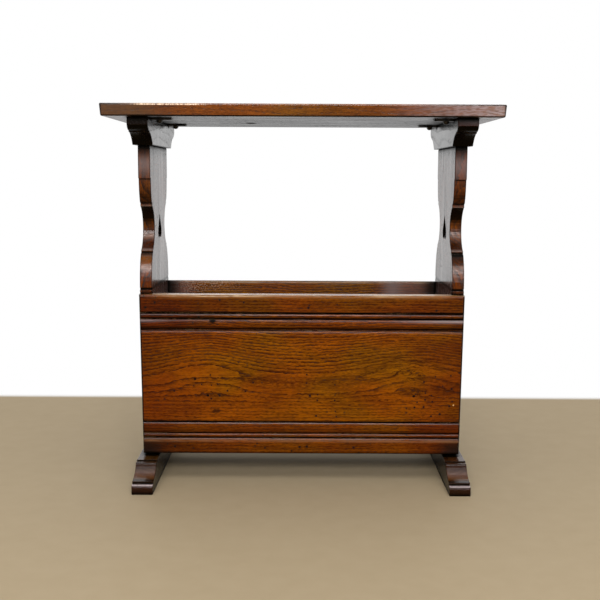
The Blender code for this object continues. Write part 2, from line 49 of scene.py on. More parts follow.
# Camera, found from the corners of the table in the photograph
camera_place = (-0.003, -1.601, 0.495)
camera_pitch = math.radians(7.5)
camera_roll = math.radians(0.27)
camera_lens = 57.6
sensor_width = 36.0
nearest_seen = 0.05
farthest_seen = 50

# Floor and backdrop, and the plain light that the world adds
floor_reach = 6.0
floor_back_edge = 0.50
floor_blend = 0.02
world_level = 0.24

# Sizes of the table that the marks follow
top_half_length, top_half_depth, table_height = cad_high
top_underside = corners_of("table_top")[0].z
bearer_underside = corners_of("bearer_right")[0].z
panel_bottom = corners_of("front_panel")[0].z
panel_half_length = corners_of("front_panel")[1].x
rim_height = corners_of("front_panel")[1].z
board_x = sum(corner.x for corner in corners_of("end_board_right")) / 2

# Heights of the panels' mouldings
lower_band_shoulder = 0.0658
lower_bead_foot = 0.0806
field_bottom = 0.0983
field_top = 0.2485
upper_bead_belly = 0.2556
upper_bead_shoulder = 0.2643
rim_groove = 0.2778
rim_foot = 0.2795

# Figure and marks of the front panel, as x or as x and z
arch_x = -0.150
knot_arch_x = 0.178
knot = (0.172, 0.184)
swirl = (0.175, 0.186)
bead_knot = (-0.141, 0.2640)
low_smudge = (-0.137, 0.116)
pale_speck = (0.2440, 0.1275)
upper_hole = (-0.17, 0.169)
left_hole = (-0.15, 0.142)
right_hole = (0.18, 0.142)
hole_size = 0.0020

# Marks and a painted sheen of the back panel along x, and the knot under the top, as x and y
crackle_x = -0.172
grey_sheen_x = 0.160
dry_knot = (-0.0865, 0.028)

# Heights on the shaped edge of an end board, from the lower ovolo up to the neck
lower_ovolo = 0.3478
lower_ovolo_top = 0.3605
fillet_foot = 0.3683
lower_ledge = 0.3737
waist_foot = 0.3840
waist_hollow = 0.3950
waist_middle = 0.4040
upper_ledge = 0.4411
upper_ovolo = 0.4525
neck = 0.508

# Box about the heart shaped piercing
heart_box_bottom = 0.380
heart_box_top = 0.434
heart_box_half_width = 0.022

# Heights of the mouldings on a bearer's ends and on a foot's toes
bearer_cove_top = 0.5565
bearer_ovolo = 0.563
toe_bead = 0.0143
toe_step = 0.0172
cove_foot = 0.0194
cove_low = 0.0200
cove_middle = 0.0245
toe_ovolo = 0.0372

# Growth rings: how far ripples and jitter move them, and how flat the flattest cut is
ripple_depth = 0.0070
jitter_depth = 0.0026
flattest_cut = 0.004

# Reach of the painted shade and wax in grooves and in sheltered places, and the radius of a
# softened arris
groove_reach = 0.008
shelter_reach = 0.040
arris_radius = 0.0014

# How many places in a metre, each way, may hold a knock
knock_places = 70.0

# Sockets in use on a Mix node that mixes colours
mix_share = 0
mix_first = 6
mix_second = 7
mix_result = 2


class Field:
    """A number that varies over a surface, with arithmetic that adds shader nodes."""

    def __init__(self, tree, socket):
        self.tree = tree
        self.socket = socket

    def apply(self, operation, *others, clamp=False):
        node = self.tree.nodes.new("ShaderNodeMath")
        node.operation = operation
        node.use_clamp = clamp
        for socket, value in zip(node.inputs, (self, *others)):
            feed(self.tree, socket, value)
        return Field(self.tree, node.outputs[0])

    def __add__(self, other):
        return self.apply("ADD", other)

    def __neg__(self):
        return self * -1

    def __sub__(self, other):
        return self.apply("SUBTRACT", other)

    def __rsub__(self, other):
        return -self + other

    def __mul__(self, other):
        return self.apply("MULTIPLY", other)

    def __truediv__(self, other):
        return self.apply("DIVIDE", other)

    def power(self, exponent):
        return self.apply("POWER", exponent)

    def root(self):
        return self.apply("SQRT")

    def size(self):
        return self.apply("ABSOLUTE")

    def fraction(self):
        return self.apply("FRACT")

    def at_most(self, limit):
        return self.apply("MINIMUM", limit)

    def clamped(self):
        return self.apply("ADD", 0, clamp=True)

    def hill(self, centre, width):
        """1 at the centre, falling to 0 like a bell."""
        away = (self - centre) / width
        return (-(away * away)).apply("EXPONENT")

    def rise(self, low, high):
        """0 below low, 1 above high and smooth between. Low may be the larger."""
        node = self.tree.nodes.new("ShaderNodeMapRange")
        node.interpolation_type = "SMOOTHSTEP"
        feed(self.tree, node.inputs["Value"], self)
        flip = low > high
        node.inputs["From Min"].default_value = min(low, high)
        node.inputs["From Max"].default_value = max(low, high)
        node.inputs["To Min"].default_value = 1 if flip else 0
        node.inputs["To Max"].default_value = 0 if flip else 1
        return Field(self.tree, node.outputs["Result"])


def feed(tree, socket, value):
    if isinstance(value, Field):
        tree.links.new(value.socket, socket)
    elif isinstance(value, bpy.types.NodeSocket):
        tree.links.new(value, socket)
    else:
        socket.default_value = value


def split_vector(tree, source):
    """The parts of a vector, as fields by axis."""
    node = tree.nodes.new("ShaderNodeSeparateXYZ")
    tree.links.new(source, node.inputs[0])
    return {axis: Field(tree, socket) for axis, socket in zip("XYZ", node.outputs)}


def position(tree):
    """Where a point of the surface is, in metres."""
    node = tree.nodes.new("ShaderNodeTexCoord")
    return split_vector(tree, node.outputs["Object"])


def surface_normal(tree):
    """Which way the surface faces."""
    node = tree.nodes.new("ShaderNodeNewGeometry")
    return split_vector(tree, node.outputs["Normal"])


def noise(tree, x, y, z, detail=2.0):
    """Smooth noise between 0 and 1, with one feature per unit of x, y and z."""
    vector = tree.nodes.new("ShaderNodeCombineXYZ")
    for socket, value in zip(vector.inputs, (x, y, z)):
        feed(tree, socket, value)
    node = tree.nodes.new("ShaderNodeTexNoise")
    node.inputs["Scale"].default_value = 1.0
    node.inputs["Detail"].default_value = detail
    node.inputs["Roughness"].default_value = 0.5
    tree.links.new(vector.outputs[0], node.inputs["Vector"])
    return Field(tree, node.outputs["Fac"])


def mixed(tree, share, first, second, blend="MIX"):
    node = tree.nodes.new("ShaderNodeMix")
    node.data_type = "RGBA"
    node.blend_type = blend
    node.clamp_factor = True
    feed(tree, node.inputs[mix_share], share)
    feed(tree, node.inputs[mix_first], first)
    feed(tree, node.inputs[mix_second], second)
    return node.outputs[mix_result]


def crevices(tree, reach):
    """0 deep in a groove or an inner corner, 1 on open surfaces."""
    node = tree.nodes.new("ShaderNodeAmbientOcclusion")
    node.samples = 8
    node.inputs["Distance"].default_value = reach
    return Field(tree, node.outputs["AO"])


def rounded_edges(tree):
    """A normal that rounds every arris a little, and how far it turns from the true one."""
    node = tree.nodes.new("ShaderNodeBevel")
    node.samples = 6
    node.inputs["Radius"].default_value = arris_radius
    geometry = tree.nodes.new("ShaderNodeNewGeometry")
    dot = tree.nodes.new("ShaderNodeVectorMath")
    dot.operation = "DOT_PRODUCT"
    tree.links.new(node.outputs["Normal"], dot.inputs[0])
    tree.links.new(geometry.outputs["Normal"], dot.inputs[1])
    return node.outputs["Normal"], 1 - Field(tree, dot.outputs["Value"])


def bumped(tree, height, strength, distance):
    node = tree.nodes.new("ShaderNodeBump")
    node.inputs["Strength"].default_value = strength
    node.inputs["Distance"].default_value = distance
    feed(tree, node.inputs["Height"], height)
    return node


def new_material(name):
    material = bpy.data.materials.new(name)
    material.use_nodes = True
    tree = material.node_tree
    return material, tree, tree.nodes["Principled BSDF"]


def colour(red, green, blue):
    """An opaque colour from linear red, green and blue."""
    return (red, green, blue, 1.0)


panel_line = colour(0.016, 0.003, 0.0003)
hole_tint = colour(0.004, 0.001, 0.0)
# Tint of the painted shade, partly wax, in crevices, hollows, undersides and sheltered places
wax_and_shade_tint = colour(0.002, 0.001, 0.0)


class Wood:
    """A surface of wood: where a point is, which way it faces, its streaks and its tone so far.

    The grain runs along one axis, and the piece is broad along another. The side is -1 on a
    left hand piece, 1 on a right hand one and 0 on the others.
    """

    def __init__(self, tree, along, broad, seed, side):
        self.tree = tree
        self.place = position(tree)
        self.x, self.y, self.z = self.place.values()
        self.normal = surface_normal(tree)
        self.run = self.place[along]
        self.across = [self.place[axis] for axis in "XYZ" if axis != along]
        self.width = self.place[broad]
        flat = [axis for axis in "XYZ" if axis not in (along, broad)][0]
        self.broad_face = self.normal[flat].size().rise(0.5, 0.8)
        self.seed = seed
        self.side = side
        self.mottle = self.grain(9, 24, detail=4.0, seeded=0)
        self.streak = self.grain(32, 420, detail=3.0)
        self.under = (-self.normal["Z"]).rise(0.02, 0.45)
        self.hollow = crevices(tree, groove_reach).rise(0.95, 0.52)
        self.tone = None

    def grain(self, lengthwise, crosswise, detail=2.0, seeded=1):
        """Noise with so many features a metre along the grain and across it."""
        sides = [field * crosswise for field in self.across]
        sides[seeded] = sides[seeded] + self.seed
        return noise(self.tree, self.run * lengthwise, *sides, detail)

    def paint(self, share, tint, blend="MIX"):
        """Lays a share of a tint over the tone."""
        self.tone = mixed(self.tree, share, self.tone, tint, blend)

    def bell(self, middle, size):
        """1 at a middle given as x and z, falling to 0 over the size."""
        return self.x.hill(middle[0], size[0]) * self.z.hill(middle[1], size[1])

    def spot(self, middle, size, second="Z"):
        """1 in a ragged spot about a middle given as x and a second axis, and 0 outside it."""
        other = self.place[second]
        ragged = noise(self.tree, self.x * 260, 4.0, other * 260, detail=3.0)
        away = ((self.x - middle[0]) / size[0]).power(2) + ((other - middle[1]) / size[1]).power(2)
        return (away + (ragged - 0.5) * 1.6).rise(1.2, 0.2)

    def front_edge(self):
        """1 on the edges that face forwards or backwards, 0 on the broad sides."""
        return self.normal["Y"].size().rise(0.3, 0.8)

    def inward(self, low=0.5, high=0.9):
        """1 on the face of a left or right hand piece that looks to the middle."""
        return (self.normal["X"] * -self.side).rise(low, high)


def oak(name, along, broad, pith, seed, side=0, ring=0.0046, wander=0.012, ends=None,
        light=colour(0.2, 0.06, 0.006), dark=colour(0.09, 0.022, 0.003),
        line=colour(0.016, 0.003, 0.0005), arris=colour(0.42, 0.23, 0.10), worn=0.5,
        roughness=0.16, reflection=1.33, polish=0.0,
        bent=None, calmed=None, marked_and_lit=None, waxed_and_shaded=None, dulled=None):
    """Stained and waxed oak, whose rings lie about a pith given by its place across the grain.

    The last five are functions of the wood that suit it to a piece: they bend its rings, calm
    them, mark the tone and paint light and shade on it, add wax and painted shade, and dull the
    gloss.
    """
    material, tree, shader = new_material(name)
    wood = Wood(tree, along, broad, seed, side)

    # Pores: dashes along the grain, crowded in the early wood that starts each ring
    band = growth_rings(wood, pith, ring, wander, bent)
    dash = wood.grain(110, 330)
    pores = (wood.grain(170, 620, seeded=0).rise(0.47, 0.60) * (band * 0.6 + 0.4)).clamped()
    lines = (band * (dash.rise(0.32, 0.54) * 0.90 + 0.25)).clamped()
    if calmed is not None:
        lines = lines * calmed(wood)

    stain(wood, light, dark, ends)
    wood.paint(lines, line)
    wood.paint(pores * 0.72, line)
    wood.paint(wood.normal[along].size().rise(0.30, 0.80) * 0.68, line)
    spots = knocks(wood)
    wood.paint(spots, hole_tint)
    if marked_and_lit is not None:
        marked_and_lit(wood)

    # Painted shade, partly wax: crevices, hollows, undersides and sheltered places go dark and dull
    sheltered = crevices(tree, shelter_reach).rise(0.85, 0.35) * 0.65
    wax_and_shade = wood.hollow + wood.under * 0.95 + sheltered
    if waxed_and_shaded is not None:
        wax_and_shade = wax_and_shade + waxed_and_shaded(wood)
    wax_and_shade = wax_and_shade.clamped()
    wood.paint(wax_and_shade, wax_and_shade_tint)

    # Arrises rubbed in broken runs
    rounded, turned = rounded_edges(tree)
    rubbed_and_highlight = turned.rise(0.02, 0.14) * wood.mottle.rise(0.46, 0.60) * dash.rise(0.38, 0.55) * worn
    wood.paint(rubbed_and_highlight.clamped(), arris)

    smear = wood.grain(7, 45, seeded=0)
    gloss = ((smear - 0.5) * 0.24 + lines * 0.10 + pores * 0.08 + spots * 0.3
             + wood.under * 0.10 + wood.hollow * 0.35 + roughness)
    if dulled is not None:
        gloss = gloss + dulled(wood)
    shine = wood.normal["Z"].rise(0.10, 0.55) * polish + 0.5
    height = pores * -0.4 + lines * -0.3 + wood.grain(30, 75) * 1.4
    relief = bumped(tree, height, strength=0.4, distance=0.0003)
    tree.links.new(rounded, relief.inputs["Normal"])
    feed(tree, shader.inputs["Base Color"], wood.tone)
    feed(tree, shader.inputs["Roughness"], gloss.clamped())
    feed(tree, shader.inputs["IOR"], reflection)
    feed(tree, shader.inputs["Specular IOR Level"], ((1 - wax_and_shade * 0.85) * shine).clamped())
    feed(tree, shader.inputs["Normal"], relief.outputs["Normal"])
    return material


def growth_rings(wood, pith, spacing, wander, bent):
    """Rings about a pith that wanders along the grain: 1 where a ring starts, fading to 0."""
    tree, run, seed = wood.tree, wood.run, wood.seed
    sway = noise(tree, run * 4.5, seed, 0.3, detail=1.0)
    lift = noise(tree, run * 3.5, 7.7, seed, detail=1.0)
    first = wood.across[0] - pith[0] - (sway - 0.5) * (wander * 2)
    second = wood.across[1] - pith[1] - (lift - 0.5) * (wander * 2)
    if bent is not None:
        second = second - bent(wood)
    reach = (first * first + second * second).root()

    # Where the surface cuts the rings flat they lie far apart, and ripples show more
    stretch = reach / (second.size() + flattest_cut)
    ripple = (wood.grain(18, 70, detail=3.0, seeded=0) - 0.5) * ripple_depth
    jitter = (wood.grain(150, 170) - 0.5) * jitter_depth
    reach = reach + (ripple + jitter) / stretch.power(0.8)
    uneven = noise(tree, reach * 60, run * 2, seed, detail=1.0)
    phase = (reach / spacing + uneven * 1.4).fraction()
    return (1 - phase).power(stretch.at_most(5.0) * 1.4 + 0.4) * phase.rise(0.0, 0.05)


def stain(wood, light, dark, ends):
    """Mottling, streaks and golden patches, and a tint towards the ends of a board.

    The ends are given as the middle of the board, its half length, a share and the tint.
    """
    shade = wood.mottle.rise(0.3, 0.75) * 0.45 + wood.streak.rise(0.35, 0.7) * 0.55
    wood.tone = mixed(wood.tree, shade.clamped(), light, dark)
    wood.paint(wood.grain(7, 12).rise(0.40, 0.66), colour(0.88, 1.22, 0.9), "MULTIPLY")
    if ends is not None:
        middle, half, amount, tint = ends
        away = (wood.run - middle).size() / half + (wood.mottle - 0.5) * 0.6
        wood.paint(away.rise(0.35, 1.05) * amount, tint, "MULTIPLY")


def knocks(wood):
    """Knocks and worm holes on the broad faces: dark round spots, few and in clusters."""
    tree, run, seed = wood.tree, wood.run, wood.seed
    spread = noise(tree, run * 11 + seed, wood.width * 16, seed, detail=1.0)
    vector = tree.nodes.new("ShaderNodeCombineXYZ")
    feed(tree, vector.inputs["X"], run + seed)
    feed(tree, vector.inputs["Y"], wood.width)
    cells = tree.nodes.new("ShaderNodeTexVoronoi")
    cells.voronoi_dimensions = "2D"
    cells.inputs["Scale"].default_value = knock_places
    tree.links.new(vector.outputs[0], cells.inputs["Vector"])
    draw = tree.nodes.new("ShaderNodeSeparateColor")
    tree.links.new(cells.outputs["Color"], draw.inputs[0])
    chosen = Field(tree, draw.outputs["Red"]).rise(0.54, 0.56)
    size = Field(tree, draw.outputs["Green"]) * 0.085 + 0.085
    inside = (Field(tree, cells.outputs["Distance"]) / size).rise(1.25, 0.5)
    return (inside * chosen * spread.rise(0.50, 0.60)).clamped() * wood.broad_face


def steel(name, seed, tint):
    """Blackened steel with worn streaks and a trace of rust."""
    material, tree, shader = new_material(name)
    x, y, z = position(tree).values()
    patch = noise(tree, x * 220 + seed, y * 220, z * 220, detail=4.0)
    brushed = noise(tree, x * 90, y * 1400 + seed, z * 900)
    tone = mixed(tree, patch.rise(0.4, 0.7), tint, colour(0.05, 0.038, 0.03))
    tone = mixed(tree, brushed.rise(0.55, 0.75) * 0.3, tone, colour(0.12, 0.11, 0.10))
    relief = bumped(tree, patch + brushed * 0.4, strength=0.35, distance=0.0002)
    feed(tree, shader.inputs["Base Color"], tone)
    feed(tree, shader.inputs["Metallic"], patch.rise(0.8, 0.35) * 0.4 + 0.55)
    feed(tree, shader.inputs["Roughness"], patch * 0.35 + brushed * 0.15 + 0.15)
    feed(tree, shader.inputs["Normal"], relief.outputs["Normal"])
    return material


def cathedral(wood):
    """Lifts the rings of the front panel over an arch on the left and a knot on the right."""
    arches = wood.x.hill(arch_x, 0.072) + wood.x.hill(knot_arch_x, 0.085)
    depth = wood.z.rise(0.132, 0.166) * wood.z.rise(0.305, 0.172)
    whirl = noise(wood.tree, wood.x * 60, 3.0, wood.z * 110) - 0.5
    return (arches * depth * 0.021 + wood.bell(knot, (0.032, 0.013)) * 0.008
            + whirl * wood.bell(swirl, (0.040, 0.026)) * 0.022)


def by_the_knot(wood):
    """1 about the knot on the right of the front panel, and 0 away from it."""
    return wood.bell(knot, (0.075, 0.036))


def calmer_panel(wood):
    """Rings of the front panel show less low in its field, on its rim and about the knot."""
    low_field = wood.z.rise(0.152, 0.122) * 0.5
    rim = wood.z.rise(rim_foot - 0.0015, rim_foot + 0.0015) * 0.3
    return (1 - (low_field + rim)) * (1 - by_the_knot(wood) * 0.6)


def moulded_panel(wood, rubbing=0.7):
    """More stain in the run mouldings, dark ends, and an upper edge rubbed pale by hands."""
    beyond = wood.z.rise(field_top - 0.002, field_top + 0.002) \
        + wood.z.rise(field_bottom + 0.002, field_bottom - 0.002)
    wood.paint(beyond.clamped() * (wood.mottle * 0.5 + 0.6), colour(0.62, 0.50, 0.55), "MULTIPLY")
    across = wood.x.size()
    ends = across.rise(panel_half_length - 0.0036, panel_half_length - 0.0020)
    # Dark ends, and painted shade with wax in the lower corners by the feet
    corner = across.rise(0.198, 0.250) * wood.z.rise(0.080, 0.056)
    wood.paint((ends * 0.85 + corner * 0.92).clamped(), colour(0.010, 0.004, 0.002))
    rim = wood.z.rise(rim_height - 0.0023, rim_height - 0.0007) * wood.x.rise(-0.262, -0.215)
    wood.paint(rim * wood.streak.rise(0.30, 0.55) * rubbing * 0.8, colour(0.36, 0.21, 0.08))
    handled = across.rise(0.252, 0.212) * rubbing
    below = wood.z.rise(rim_height - 0.0086, rim_height - 0.0041) * wood.streak.rise(0.25, 0.55)
    wood.paint(below * handled * 0.4, colour(0.42, 0.19, 0.05))
    arris = wood.z.rise(rim_height - 0.0043, rim_height - 0.0031) \
        * wood.z.rise(rim_height - 0.0001, rim_height - 0.0013)
    rubbed_and_highlight = wood.x.hill(-0.13, 0.055) * 0.35 + wood.mottle.rise(0.42, 0.66) * 0.65
    bare = (rubbed_and_highlight * wood.streak.rise(0.36, 0.52)).clamped()
    wood.paint(arris * bare * (handled * 0.75 + 0.15), colour(0.74, 0.50, 0.26))


def marked_and_lit_front(wood):
    """What only the front panel has besides the marks of a moulded panel.

    A smudge, three larger holes, a painted highlight towards the ends of the upper bead, a painted
    highlight on the shoulder of the lower band, fine lines that swirl about the knot, and a pale
    speck.
    """
    moulded_panel(wood)
    wood.paint(wood.spot(low_smudge, (0.0085, 0.0042)) * 0.7, colour(0.006, 0.002, 0.001))
    for hole in (upper_hole, left_hole, right_hole):
        inside = wood.bell(hole, (hole_size * 1.2, hole_size))
        wood.paint(inside.rise(0.25, 0.60), hole_tint)
    # Painted highlight on the upper bead towards both ends, most on the right
    painted_highlight_ends = wood.x.rise(0.12, 0.25) * 0.6 + wood.x.rise(-0.20, -0.26) * 0.35
    wood.paint(wood.z.hill(upper_bead_shoulder, 0.0026) * painted_highlight_ends, colour(0.30, 0.24, 0.24))
    # Painted highlight along the shoulder of the lower band, broken by streaks
    band = wood.z.hill(lower_band_shoulder, 0.0020) * wood.streak.rise(0.25, 0.55) * 0.4
    wood.paint(band, colour(0.30, 0.14, 0.06))
    flow = wood.z - cathedral(wood)
    thin = noise(wood.tree, wood.x * 24, 6.0, flow * 430)
    wood.paint(thin.rise(0.50, 0.62) * by_the_knot(wood) * 0.75, panel_line)
    wood.paint(wood.spot(pale_speck, (0.0014, 0.0014)), colour(0.62, 0.38, 0.14))


def waxed_and_shaded_front(wood):
    """A black knot in the front panel's upper bead, and painted shade with wax by its arrises and
    grooves.
    """
    more = (wood.z.hill(rim_groove, 0.0012) * 0.8 + wood.z.hill(field_top - 0.0005, 0.0016) * 0.3
            + wood.z.hill(field_bottom + 0.0008, 0.0014) * 0.6
            + wood.z.rise(panel_bottom + 0.0045, panel_bottom + 0.0017) * 0.5)
    less = wood.z.hill(upper_bead_belly, 0.0036) * 0.35 + wood.z.hill(lower_bead_foot, 0.0032) * 0.5
    return wood.spot(bead_knot, (0.0060, 0.0042)) + more - less


def marked_and_lit_back(wood):
    """Pale crackled wear high on the back panel's inner face, painted sheen and painted shade in
    its corners.
    """
    moulded_panel(wood, rubbing=0.3)
    inner = (-wood.normal["Y"]).rise(0.2, 0.6)
    patch = wood.x.hill(crackle_x, 0.045) * wood.z.rise(0.270, 0.300) * inner
    crackle = noise(wood.tree, wood.x * 330, 2.0, wood.z * 420, detail=3.0)
    worn = patch * crackle.rise(0.50, 0.58) * wood.mottle.rise(0.25, 0.50)
    wood.paint(worn * 0.5, colour(0.52, 0.38, 0.26))
    # Painted grey sheen on the inner face, at both ends and about one place on the right
    painted_grey_sheen = (wood.x.rise(-0.18, -0.21) * 0.3 + wood.x.hill(grey_sheen_x, 0.016) * 0.6
            + wood.x.rise(0.12, 0.19) * 0.3)
    wood.paint(painted_grey_sheen * inner, colour(0.17, 0.12, 0.11))
    # Painted shade in the inner corners where the back panel meets the end boards
    corner = wood.x.size().rise(0.204, 0.232) * inner
    wood.paint(corner * 0.85, colour(0.006, 0.003, 0.002))


def wax_streaks(wood):
    """Thin dark streaks that run down the broad sides of the end boards and bearers."""
    streak = noise(wood.tree, wood.x * 20, wood.y * 75, wood.z * 8, detail=4.0)
    return streak.rise(0.50, 0.72) * wood.normal["X"].size().rise(0.5, 0.8) * 0.55


def waxed_and_shaded_board(wood):
    """Painted shade in the heart, under the bearer, in the mouldings and in the rack; wax down the
    sides.
    """
    z = wood.z
    skin = (wood.x - board_x * wood.side).size()
    # Painted shade inside the heart shaped piercing
    inside = (wood.y.size().rise(heart_box_half_width, heart_box_half_width - 0.002)
              * z.rise(heart_box_bottom, heart_box_bottom + 0.004)
              * z.rise(heart_box_top, heart_box_top - 0.002) * skin.rise(0.0092, 0.0085))
    # Painted shade under the bearer, and in the quirk just above the rim
    shade_below_bearer = z.rise(bearer_underside - 0.0257, bearer_underside - 0.0037) * 0.85
    shaded_quirk = z.hill(rim_height + 0.0071, 0.0022) * 0.85
    # Painted shade on the shaped edge about the waist, eased at the upper ovolo, and more on the
    # right
    waist = (z.hill(fillet_foot, 0.0040) * 0.8 + z.hill(waist_middle, 0.0032) * 0.35
             - z.hill(upper_ovolo, 0.0040) * 0.4)
    if wood.side > 0:
        waist = waist + z.hill(lower_ovolo_top, 0.0110) * 0.6 + z.hill(waist_foot, 0.0060) * 0.35
    waist = waist * wood.front_edge()
    # Painted shade low on the inner face in the rack, eased just below the rim
    shade_in_rack = (z.rise(0.37, 0.30) * 0.28 - z.rise(rim_height, 0.290) * 0.75) * wood.inward(0.5, 0.8)
    return inside + shade_below_bearer + shaded_quirk + waist + shade_in_rack + wax_streaks(wood)


def marked_and_lit_board(wood):
    """Painted sheen and painted highlights on the shaped edges, dark arrises, and painted sheen in
    the rack.
    """
    z = wood.z
    side = wood.side
    edge = wood.front_edge()
    # Painted sheen high on the shaped edge, and on the inner face low in the rack
    painted_sheen = z.hill(neck, 0.016) * edge * (0.85 - side * 0.15) \
        + z.rise(0.330, 0.285) * wood.inward() * (wood.streak.rise(0.30, 0.65) + 0.5)
    wood.paint((painted_sheen * (wood.mottle * 0.5 + 0.35)).clamped(), colour(0.19, 0.14, 0.135))
    # Painted highlight on the upper ledge
    wood.paint(z.hill(upper_ledge, 0.0030) * edge * 0.8, colour(0.19, 0.13, 0.10))
    # Painted golden highlight on the lower ovolo, mostly on the left
    painted_golden_highlight = z.hill(lower_ovolo_top - 0.0015, 0.012) * edge * (0.24 - side * 0.22)
    wood.paint(painted_golden_highlight, colour(0.19, 0.062, 0.004))
    # Painted highlights on the lower ovolo, in the waist's hollow and on the lower ledge
    rubbed_and_highlight = z.hill(lower_ovolo, 0.0045) * (0.32 - side * 0.13) \
        + z.hill(waist_hollow, 0.0038) * (0.35 - side * 0.15) + z.hill(lower_ledge, 0.0010) * 0.8
    wood.paint((rubbed_and_highlight * edge).clamped(), colour(0.36, 0.25, 0.21))
    # Painted highlight on every face that looks up
    wood.paint(wood.normal["Z"].rise(0.80, 0.97) * 0.6, colour(0.26, 0.18, 0.16))
    skin = (wood.x - board_x * side).size().rise(0.0076, 0.0090)
    wood.paint(skin * edge * 0.7, colour(0.010, 0.003, 0.002))


def moulded_ends(wood):
    """1 on the moulded ends of a bearer, 0 on its sides."""
    return wood.normal["X"].size().rise(0.6, 0.3)


def waxed_and_shaded_bearer(wood):
    """Painted shade makes a bearer's moulded ends almost black, most on the left; wax streaks its
    sides.
    """
    cove = wood.z.rise(bearer_cove_top, bearer_cove_top - 0.003)
    share = cove * (0.25 + wood.side * 0.12) + 0.68 - wood.side * 0.16
    return moulded_ends(wood) * share + wax_streaks(wood) * 0.6


def marked_and_lit_bearer(wood):
    """A painted red highlight on the ovolo of a bearer's ends, most on the right, and a pale lowest
    arris.
    """
    ends = moulded_ends(wood)
    # Painted reddish highlight on the ovolo of the moulded ends, stronger on the right
    red = wood.z.hill(bearer_ovolo, 0.008) * ends * (0.35 + wood.side * 0.25)
    wood.paint(red, colour(0.08, 0.014, 0.007))
    arris = wood.z.rise(bearer_underside + 0.0021, bearer_underside + 0.0009)
    wood.paint(arris * ends * (0.30 + wood.side * 0.25), colour(0.16, 0.14, 0.13))


def waxed_and_shaded_foot(wood):
    """Painted shade with wax in the steps of each toe, and painted shade on the inner face of a
    foot.
    """
    toe = wood.normal["X"].size().rise(0.8, 0.4)
    # Painted shade with wax in the toe's step, in its cove and on its ovolo, and on the inner face
    step = wood.z.hill(toe_step, 0.0019) * toe * 0.55
    cove = wood.z.hill(cove_foot, 0.0019) * wood.normal["Z"].rise(0.5, 0.8) * 0.75
    ovolo = wood.z.hill(toe_ovolo, 0.0013) * toe * 0.4
    return step + cove + ovolo + wood.inward() * 0.7


def marked_and_lit_foot(wood):
    """A painted grey sheen and a brown stain in the cove of each toe, and a painted highlight on
    the bead.
    """
    toe = wood.normal["X"].size().rise(0.7, 0.3) * wood.y.size().rise(0.11, 0.13)
    # Painted grey sheen in the cove of the toe
    painted_sheen = wood.z.hill(cove_middle, 0.0036) * toe * (wood.mottle * 0.5 + 0.15)
    wood.paint(painted_sheen, colour(0.17, 0.10, 0.08))
    brown = wood.z.hill(cove_low, 0.0024) * toe * (wood.streak * 0.6 + 0.4)
    wood.paint(brown, colour(0.125, 0.042, 0.008))
    # Painted highlight along the top of the toe's bead, broken by streaks
    bead = wood.z.hill(toe_bead, 0.0010) * toe * wood.streak.rise(0.20, 0.45)
    wood.paint(bead * 0.8, colour(0.42, 0.35, 0.35))


def calmer_edge(wood):
    """Rings of the top show less on its edges."""
    return 1 - wood.y.size().rise(top_half_depth - 0.012, top_half_depth - 0.002) * 0.55


def waxed_and_shaded_top(wood):
    """The overhanging ends of the top get less painted shade and wax underneath."""
    return wood.x.size().rise(0.250, 0.262) * -0.5


def dry_underside(wood):
    """A knot in the underside of the top has lost its gloss."""
    return wood.spot(dry_knot, (0.0095, 0.020), "Y") * wood.normal["Z"].rise(-0.5, -0.8) * 0.7


def marked_and_lit_top(wood):
    """The top's edge darkens to the left and bears a painted reflection to the right; a left arris
    is bare.
    """
    x, z = wood.x, wood.z
    edge = wood.normal["Y"].size().rise(0.3, 0.7)
    left = x.rise(-0.16, -0.27) * wood.mottle.rise(0.15, 0.6)
    wood.paint(left * edge * 0.75, colour(0.072, 0.038, 0.024))
    # Painted pinkish grey reflection on the edge towards the right end, broken by flecks
    fleck = noise(wood.tree, x * 85, 1.0, z * 440, detail=3.0)
    right = x.rise(0.10, 0.29) * (fleck.rise(0.40, 0.60) * 0.6 + 0.4)
    wood.paint(right * edge * 0.85, colour(0.29, 0.22, 0.22))

    # Dark outline along the upper and lower arrises and at the tips
    upper = (x.rise(0.16, 0.24) + x.rise(-0.262, -0.275)) \
        * z.rise(table_height - 0.0030, table_height - 0.0014)
    lower = x.size().rise(0.05, 0.15) * z.rise(top_underside + 0.0030, top_underside + 0.0012)
    tip = x.size().rise(top_half_length - 0.0042, top_half_length - 0.0020)
    wood.paint((upper + lower + tip).clamped() * edge * 0.9, colour(0.012, 0.006, 0.005))

    arris = wood.y.rise(0.0030 - top_half_depth, 0.0015 - top_half_depth) \
        * z.rise(table_height - 0.0035, table_height - 0.0023) \
        * z.rise(table_height - 0.0004, table_height - 0.0014)
    bare = x.rise(-0.262, -0.235) * x.rise(-0.135, -0.165)
    broken = noise(wood.tree, x * 150, 0.0, 9.0).rise(0.40, 0.56)
    wood.paint(arris * bare * broken, colour(0.80, 0.58, 0.40))


def dress(name, material):
    for slot in nodes[name].material_slots:
        slot.material = material


